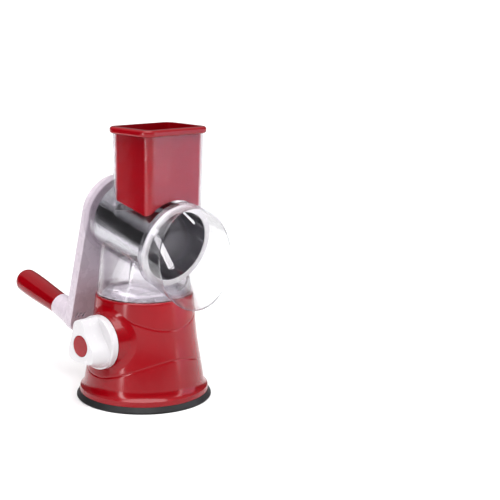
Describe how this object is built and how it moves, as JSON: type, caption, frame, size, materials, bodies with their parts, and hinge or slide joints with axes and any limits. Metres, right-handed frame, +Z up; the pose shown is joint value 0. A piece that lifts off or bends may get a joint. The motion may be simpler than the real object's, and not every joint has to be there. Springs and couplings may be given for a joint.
{
  "type": "hand cranked drum shredder",
  "caption": "Table-top hand shredder: crank-turned slotted steel drum in a clear housing with a square feed chute and pusher, on a tall suction foot.",
  "frame": {"origin": "centre of the round foot, on the surface it stands on", "axes": "+Z up; the drum's mouth faces -Y, the crank is at the +Y end, the suction knob is on the -X side"},
  "size_m": [0.1431, 0.2503, 0.2615],
  "materials": {
    "red_abs": "glossy moulded plastic",
    "white_abs": "satin-gloss moulded plastic",
    "white_nylon": "plain moulded nylon",
    "clear_plastic": "clear polished plastic",
    "black_rubber": "soft matt rubber",
    "drum_steel": "bright rolled stainless sheet",
    "screw_steel": "zinc-plated steel"
  },
  "bodies": {
    "housing": {"suction_pad": "black_rubber", "pressure_plate": "white_nylon", "plate_screws": "screw_steel", "base_shell": "red_abs", "knob_bush": "white_nylon", "housing_barrel": "clear_plastic", "barrel_lug": "clear_plastic", "feed_chute": "clear_plastic", "housing_neck": "clear_plastic", "lock_screws": "screw_steel", "lock_plate": "white_abs", "knob_seat": "red_abs", "rear_bush": "white_nylon", "discharge_guard": "clear_plastic"},
    "rotor": {"drum_shell": "drum_steel", "drum_front_ring": "white_abs", "drum_hub": "white_abs", "drive_shaft": "screw_steel", "crank_arm": "white_abs", "crank_screw": "screw_steel", "crank_cap": "white_abs", "grip_axle": "screw_steel"},
    "grip": {"grip": "red_abs"},
    "knob": {"cam_shaft": "screw_steel", "suction_knob": "white_abs", "knob_cap": "red_abs", "knob_screw": "screw_steel"},
    "plunger": {"plunger": "white_nylon"},
    "pusher": {"pusher": "red_abs"}
  },
  "joints": [
    {"name": "crank_turn", "type": "hinge", "parent": "housing", "child": "rotor", "pos_m": [0, 0, 0.1645], "axis": [0, -0.9681, -0.2504], "continuous": true},
    {"name": "grip_spin", "type": "hinge", "parent": "rotor", "child": "grip", "pos_m": [-0.0185, 0.02929, 0.05123], "axis": [0, -0.9681, -0.2504], "continuous": true},
    {"name": "knob_turn", "type": "hinge", "parent": "housing", "child": "knob", "pos_m": [-0.0534, 0, 0.062], "axis": [1, 0, 0], "range_deg": [0, 90]},
    {"name": "plunger_lift", "type": "slide", "parent": "housing", "child": "plunger", "axis": [0, 0, 1], "range_m": [0, 0.0031]},
    {"name": "pusher_slide", "type": "slide", "parent": "housing", "child": "pusher", "axis": [0, 0, 1], "range_m": [0, 0.06]}
  ],
  "couplings": [
    {"joint": "plunger_lift", "follows": "knob_turn", "m_per_rad": 0.0019}
  ]
}
